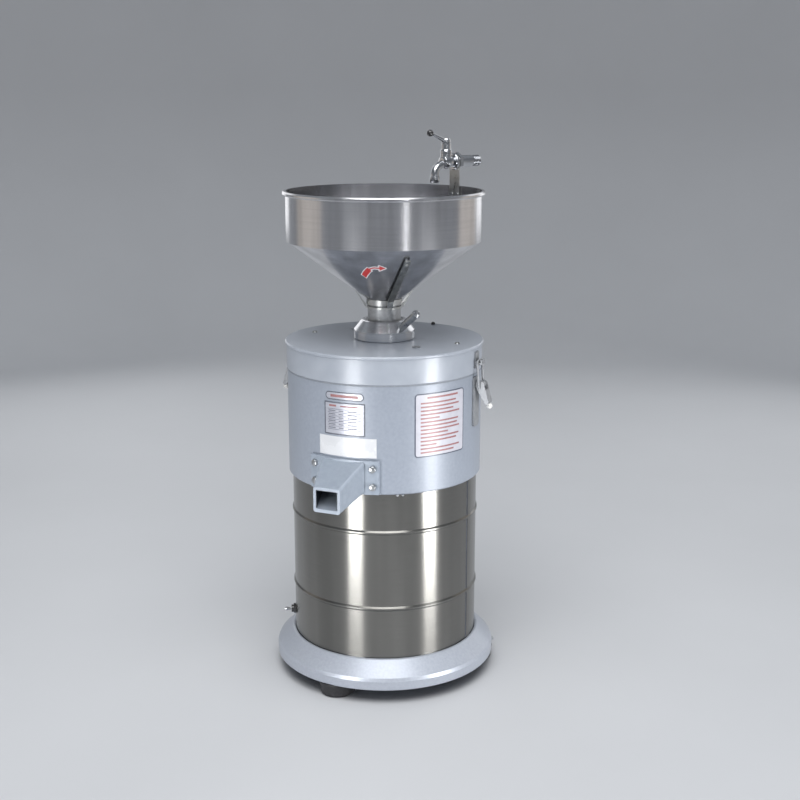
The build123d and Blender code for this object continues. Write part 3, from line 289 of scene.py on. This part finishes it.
FINISHES = {
    shell_steel: ("motor_shell",),
    hopper_steel: ("hopper",),
    plain_steel: ("hopper_neck", "gate_seat", "tap_bracket", "residue_trough", "filter_basket", "splash_ring",
                  "feed_screw"),
    gate_steel: ("feed_gate", "lid_screws"),
    collar_steel: ("adjusting_collar",),
    chrome: ("tap_body", "tap_nut", "tap_outlet", "tap_bonnet", "tap_lever", "switch_lever"),
    zinc: ("foot_bolts", "motor_bolts", "capacitor_clamp", "outlet_bolts", "stone_screws", "guide_pins",
           "collar_retainer", "bracket_rivets", "adjusting_handle"),
    latch_steel: ("latch_bases", "latch_keepers", "latch_lever_left", "latch_lever_right", "latch_bail_left",
                  "latch_bail_right"),
    grey_paint: ("grinding_housing",),
    spout_paint: ("milk_spout",),
    chute_paint: ("residue_chute",),
    lid_paint: ("lid",),
    ring_paint: ("base_ring",),
    cast_metal: ("upper_end_shield", "lower_end_shield", "motor_frame", "stone_holder"),
    ground_steel: ("rotor_shaft", "motor_bearings", "run_capacitor"),
    lamination: ("stator_core", "rotor_core"),
    winding: ("stator_windings",),
    rubber: ("rubber_feet", "shaft_seal"),
    gasket_rubber: ("lid_gasket",),
    black_plastic: ("cooling_fan", "toggle_switch", "cable_gland", "tap_grip"),
    white_plastic: ("latch_knob_left", "latch_knob_right"),
    stone: ("lower_stone", "upper_stone"),
    mesh_steel: ("filter_screen",),
}
for material, names in FINISHES.items():
    for name in names:
        nodes[name].data.materials.clear()
        nodes[name].data.materials.append(material)


# Piece builders

# Layers of a plate in millimetres, what keeps a rounded end from closing to a line, and a sheet's strips
PLATE_LIFT = 0.05
PLATE_THICK = 0.3
FIELD_THICK = 0.1
PRINT_THICK = 0.08
TIP = 0.02
STRIPS = 16
CORNER_STEPS = 6


def at(azimuth, radius, height):
    """Point in the frame from azimuth in degrees, radius and height in millimetres."""
    angle = math.radians(azimuth)
    return Vector((radius * math.sin(angle), -radius * math.cos(angle), height)) * MM


def outward(azimuth, radius, height):
    """Matrix at a point whose Z points out of the machine and whose Y points up."""
    angle = math.radians(azimuth)
    out = Vector((math.sin(angle), -math.cos(angle), 0))
    up = Vector((0, 0, 1))
    side = up.cross(out)
    turn = Matrix((side, up, out)).transposed().to_4x4()
    return Matrix.Translation(at(azimuth, radius, height)) @ turn


def piece(name, vertices, faces, material, body, smooth=False):
    """Mesh object that moves with a body."""
    mesh = bpy.data.meshes.new(name)
    mesh.from_pydata([tuple(v) for v in vertices], [], faces)
    mesh.update()
    mesh.materials.append(material)
    if smooth:
        mesh.shade_smooth()
    made = bpy.data.objects.new(name, mesh)
    bpy.context.scene.collection.objects.link(made)
    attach(made, body)
    return made


def lathe(name, profile, material, body, place=Matrix(), segments=32, smooth=True):
    """Solid of revolution. The profile is (radius, height) in millimetres from axis to axis."""
    vertices, faces = [], []
    rows = len(profile)
    for i in range(segments):
        angle = 2 * math.pi * i / segments
        for radius, height in profile:
            point = Vector((radius * math.cos(angle), radius * math.sin(angle), height)) * MM
            vertices.append(place @ point)
    for i in range(segments):
        following = (i + 1) % segments
        for k in range(rows - 1):
            faces.append((i * rows + k, following * rows + k, following * rows + k + 1, i * rows + k + 1))
    return piece(name, vertices, faces, material, body, smooth)


def sheet(name, columns, surface, lift, thick, material, body):
    """Thin sheet on a surface of revolution.

    columns are (azimuth, low, high) from one side to the other, and surface gives the radius at a
    height, in degrees and millimetres. lift is its back face's distance off the surface.
    """
    vertices, faces = [], []
    for off in (lift, lift + thick):
        for azimuth, low, high in columns:
            for height in (low, high):
                vertices.append(at(azimuth, surface(height) + off, height))
    outer, last = 2 * len(columns), 2 * len(columns) - 2
    for a in range(0, last, 2):
        b = a + 2
        faces.append((a, a + 1, b + 1, b))
        faces.append((outer + a, outer + b, outer + b + 1, outer + a + 1))
        faces.append((a, b, outer + b, outer + a))
        faces.append((a + 1, outer + a + 1, outer + b + 1, b + 1))
    faces.append((0, outer, outer + 1, 1))
    faces.append((last, last + 1, outer + last + 1, outer + last))
    return piece(name, vertices, faces, material, body)


def patch(name, corners, surface, lift, thick, material, body, round_off=0.0):
    """Rectangular sheet with rounded corners. corners is (azimuth low, azimuth high, low, high)."""
    az_low, az_high, low, high = corners
    radius = surface((low + high) / 2)
    swing = math.degrees(round_off / radius)
    ends = [(0.0, 0.0)]
    if round_off:
        turns = [math.pi / 2 * k / CORNER_STEPS for k in range(CORNER_STEPS + 1)]
        ends = [(swing * (1 - math.cos(t)), round_off * (1 - math.sin(t))) for t in turns]
    columns = [(az_low + along, low + inset, high - inset) for along, inset in ends]
    inner = az_high - az_low - 2 * ends[-1][0]
    columns += [(columns[-1][0] + inner * k / STRIPS, low, high) for k in range(1, STRIPS)]
    columns += [(az_high - along, low + inset, high - inset) for along, inset in reversed(ends)]
    if round_off:
        columns[0] = (az_low, columns[0][1] - TIP, columns[0][2] + TIP)
        columns[-1] = (az_high, columns[-1][1] - TIP, columns[-1][2] + TIP)
    return sheet(name, columns, surface, lift, thick, material, body)


def plaque(name, corners, surface, border, round_off, edge, field, body):
    """Plate with a darker printed border round its field."""
    az_low, az_high, low, high = corners
    swing = math.degrees(border / surface((low + high) / 2))
    inner = (az_low + swing, az_high - swing, low + border, high - border)
    patch(f"{name}_edge", corners, surface, PLATE_LIFT, PLATE_THICK, edge, body, round_off)
    rounded = max(round_off - border, 0.0)
    return patch(name, inner, surface, PLATE_LIFT + PLATE_THICK, FIELD_THICK, field, body, rounded)


def rules_on(name, spans, surface, material, body):
    """Printed bars on a plate, joined into one piece. spans are (azimuth low, azimuth high, low, high)."""
    lift = PLATE_LIFT + PLATE_THICK + FIELD_THICK
    bars = []
    for i, bar in enumerate(spans):
        bars.append(patch(f"{name}_{i}", bar, surface, lift, PRINT_THICK, material, body))
    return join(name, bars)


def join(name, parts):
    """One object out of several that ride on the same body."""
    bpy.ops.object.select_all(action="DESELECT")
    for part in parts:
        part.select_set(True)
    bpy.context.view_layer.objects.active = parts[0]
    bpy.ops.object.join()
    parts[0].name = name
    parts[0].data.name = name
    return parts[0]


def screw_head(name, place, radius, height, material, body, slot_shade=True):
    """Domed head, with a dark box across it as painted shade for its slot, unless slot_shade is False."""
    dome = [(0, 0), (radius, 0)]
    dome += [(radius * math.cos(a), height * (0.35 + 0.65 * math.sin(a))) for a in (0.0, 0.4, 0.8, 1.2)]
    dome += [(0, height)]
    head = lathe(name, dome, material, body, place, 20)
    if slot_shade:
        # Painted shade for the slot: a dark box across the head instead of a cut
        half, thick = radius * 0.8, radius * 0.13
        corners = [(x, y, z) for z in (height * 0.5, height * 1.02) for x, y in
                   ((-half, -thick), (half, -thick), (half, thick), (-half, thick))]
        vertices = [place @ (Vector(c) * MM) for c in corners]
        faces = [(0, 3, 2, 1), (4, 5, 6, 7), (0, 1, 5, 4), (1, 2, 6, 5), (2, 3, 7, 6), (3, 0, 4, 7)]
        piece(f"{name}_slot", vertices, faces, dark_print_and_shade, body)
    return head


# Sizes of the CAD solids, in millimetres

HOUSING_RADIUS = 147.0
SHELL_RADIUS = 141.5
HOPPER_RADIUS = 145.5
NECK_RADIUS = 27.0
CYLINDER_HEIGHT = 73.0
CONE_HEIGHT = 87.0
HOUSING_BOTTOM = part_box("grinding_housing")[0].z / MM
LID_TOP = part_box("lid")[1].z / MM
RING_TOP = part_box("base_ring")[1].z / MM
CONE_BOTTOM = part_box("hopper")[1].z / MM - CYLINDER_HEIGHT - CONE_HEIGHT


def housing_wall(height):
    """Radius of the chamber's wall, the same at every height."""
    return HOUSING_RADIUS


def shell_wall(height):
    """Radius of the motor shell, the same at every height."""
    return SHELL_RADIUS


def cone_wall(height):
    """Radius of the hopper's cone at a height."""
    return NECK_RADIUS + (height - CONE_BOTTOM) * (HOPPER_RADIUS - NECK_RADIUS) / CONE_HEIGHT


# Plates on the chamber, with bars where the words are

# Plates and bars are (azimuth low, azimuth high, low, high), and the words are (azimuth, width)
NAME_PLATE = (-11.8, 13.2, 402.0, 450.5)
NAME_TITLE = [(-8.5, -4.0, 443.5, 446.3), (-1.5, 9.0, 443.8, 445.8)]
NAME_WORDS = ((-9.0, 4.5), (-2.5, 3.0), (3.0, 5.5))
rows = [440.0 - 5.0 * i for i in range(7)]
words = [(start, start + wide, z - 3.4, z - 1.6) for z in rows[:-1] for start, wide in NAME_WORDS]
plaque("name_plate", NAME_PLATE, housing_wall, 2.0, 1.5, dark_print_and_shade, label_silver, "root")
rules_on("name_plate_title", NAME_TITLE, housing_wall, label_rule, "root")
rules_on("name_plate_rows", [(-9.5, 10.8, z - 0.3, z + 0.3) for z in rows], housing_wall, dark_print_and_shade, "root")
rules_on("name_plate_words", words, housing_wall, label_grey, "root")

RED_PLATE = (-11.0, 12.6, 453.5, 465.5)
plaque("red_plate", RED_PLATE, housing_wall, 1.6, 6.0, dark_print_and_shade, label_silver, "root")
rules_on("red_plate_bar", [(-7.6, 9.2, 457.6, 461.4)], housing_wall, label_rule, "root")

BLANK_LABEL = (-15.5, 19.5, 371.0, 399.5)
patch("blank_label", BLANK_LABEL, housing_wall, PLATE_LIFT, PLATE_THICK, blank_white, "root")

GUIDE_PLATE = (41.0, 75.5, 369.5, 463.5)
GUIDE_WIDTHS = (24.0, 26.5, 22.0, 27.0, 12.0, 26.0, 25.0, 27.0, 18.0, 26.5, 24.5, 10.0, 27.0, 22.5)
lines = [(44.5, 44.5 + wide, 448.0 - 5.6 * i, 450.4 - 5.6 * i) for i, wide in enumerate(GUIDE_WIDTHS)]
plaque("guide_plate", GUIDE_PLATE, housing_wall, 1.7, 5.0, label_edge, label_white, "root")
rules_on("guide_plate_title", [(48.5, 70.0, 455.5, 458.3)], housing_wall, label_rule, "root")
rules_on("guide_plate_lines", lines, housing_wall, label_rule, "root")

# Arrow that shows which way the feed gate opens

# Its azimuth and height, and its parts as (across, low, high) from there in millimetres
ARROW = (8.5, 631.0)
BLOCK = ((-8.2, -4.3, -3.7), (-4.3, -9.5, 0.5), (4.7, -0.8, 8.6), (8.5, 2.8, 3.4))
SHAFT = ((6.0, 3.8, 6.6), (9.0, 6.0, 8.2), (13.0, 7.4, 9.4), (20.2, 6.8, 8.8))
HEAD = ((20.0, 3.7, 11.9), (27.6, 7.4, 7.8))
ARROW_STEP = 2.0
END_GROWTH = 0.6


def ribbon(name, columns, grow, lift, thick, material):
    """Flat shape on the hopper's cone at ARROW, made wider all round by grow."""
    azimuth, middle = ARROW
    shape = [(x, low - grow, high + grow) for x, low, high in columns]
    if grow:
        first, last, less = columns[0], columns[-1], grow * END_GROWTH
        shape.insert(0, (first[0] - grow, first[1] - less, first[2] + less))
        shape.append((last[0] + grow, last[1] - less, last[2] + less))
    finer = []
    for (x, low, high), (x2, low2, high2) in zip(shape, shape[1:]):
        pieces = max(1, round((x2 - x) / ARROW_STEP))
        for k in range(pieces):
            t = k / pieces
            finer.append((x + (x2 - x) * t, low + (low2 - low) * t, high + (high2 - high) * t))
    finer.append(shape[-1])
    radius = cone_wall(middle)
    placed = [(azimuth + math.degrees(x / radius), middle + low, middle + high) for x, low, high in finer]
    return sheet(name, placed, cone_wall, lift, thick, material, "hopper")


for i, shape in enumerate((BLOCK, SHAFT, HEAD)):
    ribbon(f"arrow_field_{i}", shape, 1.5, 0.1 + 0.02 * i, 0.12, blank_white)
    ribbon(f"arrow_{i}", shape, 0.0, 0.3, 0.1, label_red)

# Seam of the rolled shell: the lap and a dark strip beside it as the lap's painted shadow

SEAM_LOW = RING_TOP + 0.5
SEAM_HIGH = HOUSING_BOTTOM - 0.5
SEAM_LAP = (85.5, 90.5, SEAM_LOW, SEAM_HIGH)
SEAM_SHADOW = (84.7, 85.4, SEAM_LOW, SEAM_HIGH)
patch("casing_seam", SEAM_LAP, shell_wall, 0.05, 0.7, shell_steel, "root")
# Painted shadow of the lap: a thin dark strip on the shell
patch("casing_seam_shadow", SEAM_SHADOW, shell_wall, 0.05, 0.1, dark_print_and_shade, "root")

# Domes on the outlets' screws

DOME_OUT = 155.7
DOME_RADIUS = 5.0
DOME_HEIGHT = 1.9
# Each outlet's azimuth, its screws' swing in degrees, its flange's middle and the screws' rise from there
OUTLETS = (("spout", 0, 17.34, 343.0, 13.34), ("chute", 180, 20.46, 450.0, 12.18))
for side, azimuth, swing, middle, rise in OUTLETS:
    for i, (turn, up) in enumerate(((-swing, -rise), (-swing, rise), (swing, -rise), (swing, rise))):
        place = outward(azimuth + turn, DOME_OUT, middle + up)
        screw_head(f"{side}_dome_{i}", place, DOME_RADIUS, DOME_HEIGHT, zinc, "root", slot_shade=False)

# Bolts under the housing's edge, earth screw in the base ring, stop on the lid

BOLT_TURNS = (31.2, 34.4)
BOLT_OUT = 144.8
down = Matrix.Rotation(math.pi, 4, "X")
for i, azimuth in enumerate(BOLT_TURNS):
    place = Matrix.Translation(at(azimuth, BOLT_OUT, HOUSING_BOTTOM - 0.05)) @ down
    screw_head(f"skirt_bolt_{i}", place, 2.1, 2.6, zinc, "root", slot_shade=False)
screw_head("earth_screw", outward(114, 170.05, 29.0), 3.6, 3.0, zinc, "root")
stop = Matrix.Translation(at(170, 140, LID_TOP + 0.05))
screw_head("lid_stop", stop, 3.4, 4.0, black_plastic, "root", slot_shade=False)

# Ribs on the tap's tail

RIBS = 5
RIB_PITCH = 3.0
tail = outward(154, 177.6, 777.3)
for i in range(RIBS):
    height = RIB_PITCH * i
    rib = [(7.9, height), (8.6, height + 0.3), (7.9, height + 2.2), (7.9, height)]
    lathe(f"tail_rib_{i}", rib, chrome, "hopper", tail, smooth=False)

# Camera as it was fitted to the photograph

CAMERA_LENS = 57.9
CAMERA_PLACE = (0.780, -1.752, 0.881)
CAMERA_TILT = 76.54
CAMERA_TURN = 23.29

scene = bpy.context.scene
scene.view_settings.view_transform = "Standard"

camera_data = bpy.data.cameras.new("Camera")
camera_data.lens = CAMERA_LENS
camera_data.sensor_width = 36.0
camera = bpy.data.objects.new("Camera", camera_data)
camera.location = CAMERA_PLACE
camera.rotation_euler = (math.radians(CAMERA_TILT), 0.0, math.radians(CAMERA_TURN))
scene.collection.objects.link(camera)
scene.camera = camera

# Floor of the studio, in metres

FLOOR_FLAT = 2.4
WALL_ROUND = 0.8
WALL_TOP = 2.8
FLOOR_TURNS = 72


def studio_paint():
    """Pale floor that turns into darker walls."""
    material, tree, shader, place = new_material("StudioPaint")
    parts = tree.nodes.new("ShaderNodeSeparateXYZ")
    tree.links.new(place, parts.inputs["Vector"])
    height = ramp(tree, parts.outputs["Z"], (0.64, 0.65, 0.67), (0.50, 0.505, 0.52), 0.0, 0.9)
    tree.links.new(shaded(tree, height, noise(tree, place, even(2)), 0.98, 1.02), shader.inputs["Base Color"])
    shader.inputs["Roughness"].default_value = 0.7
    return material


def studio_floor():
    """Round floor that curves up into a wall."""
    arc = (0.0, 0.26, 0.52, 0.79, 1.05, 1.31, math.pi / 2)
    profile = [(0.0, 0.0)]
    profile += [(FLOOR_FLAT + WALL_ROUND * math.sin(a), WALL_ROUND * (1 - math.cos(a))) for a in arc]
    profile += [(FLOOR_FLAT + WALL_ROUND, WALL_TOP)]
    rows = len(profile)
    points, quads = [], []
    for i in range(FLOOR_TURNS):
        turn = 2 * math.pi * i / FLOOR_TURNS
        points += [(r * math.cos(turn), r * math.sin(turn), z) for r, z in profile]
        a, b = i * rows, (i + 1) % FLOOR_TURNS * rows
        quads += [(a + k, b + k, b + k + 1, a + k + 1) for k in range(rows - 1)]
    mesh = bpy.data.meshes.new("Floor")
    mesh.from_pydata(points, [], quads)
    mesh.shade_smooth()
    mesh.materials.append(studio_paint())
    made = bpy.data.objects.new("Floor", mesh)
    made.location.z = -0.0005
    scene.collection.objects.link(made)
    return made


floor = studio_floor()

# Light

world = bpy.data.worlds.new("World")
world.use_nodes = True
background = world.node_tree.nodes["Background"]
background.inputs["Color"].default_value = (0.82, 0.88, 0.95, 1.0)
background.inputs["Strength"].default_value = 0.38
scene.world = world


def area(name, azimuth, distance, height, width, tall, power, target=0.45, colour=(1, 1, 1)):
    """Soft rectangular light in metres and watts, aimed at the axis at the target's height."""
    data = bpy.data.lights.new(name, "AREA")
    data.shape = "RECTANGLE"
    data.size = width
    data.size_y = tall
    data.energy = power
    data.color = colour
    light = bpy.data.objects.new(name, data)
    light.location = at(azimuth, distance / MM, height / MM)
    light.visible_camera = False
    aim = Vector((0, 0, min(target, height))) - light.location
    light.rotation_euler = aim.to_track_quat("-Z", "Y").to_euler()
    scene.collection.objects.link(light)
    return light


# The low panels light the machine and not the floor beside them
off_floor = bpy.data.collections.new("OffFloor")
off_floor.objects.link(floor)
off_floor.collection_objects[0].light_linking.link_state = "EXCLUDE"
WARM = (1.0, 0.84, 0.66)
low_panels = (
    area("StripLeft", -9, 0.85, height=0.20, width=0.24, tall=0.38, power=4.2, target=0.1),
    area("StripRight", 76, 0.85, height=0.20, width=0.22, tall=0.38, power=5.4, target=0.1),
    area("Slit", 48, 1.3, height=0.62, width=0.03, tall=0.34, power=0.24, target=0.55),
    area("WarmLeft", -70, 1.3, height=0.62, width=0.95, tall=0.40, power=0.45, target=0.60, colour=WARM),
    area("WarmRight", 132, 1.3, height=0.62, width=0.80, tall=0.40, power=0.35, target=0.60, colour=WARM),
)
for panel in low_panels:
    panel.light_linking.receiver_collection = off_floor
area("Front", 22, 1.9, height=1.7, width=0.9, tall=0.9, power=3)
area("Top", 22, 0.9, height=2.3, width=1.7, tall=1.7, power=44, target=0.5)
area("BackLeft", -130, 2.0, height=1.2, width=1.0, tall=1.6, power=5)
area("BackRight", 165, 2.0, height=1.2, width=1.0, tall=1.6, power=5)
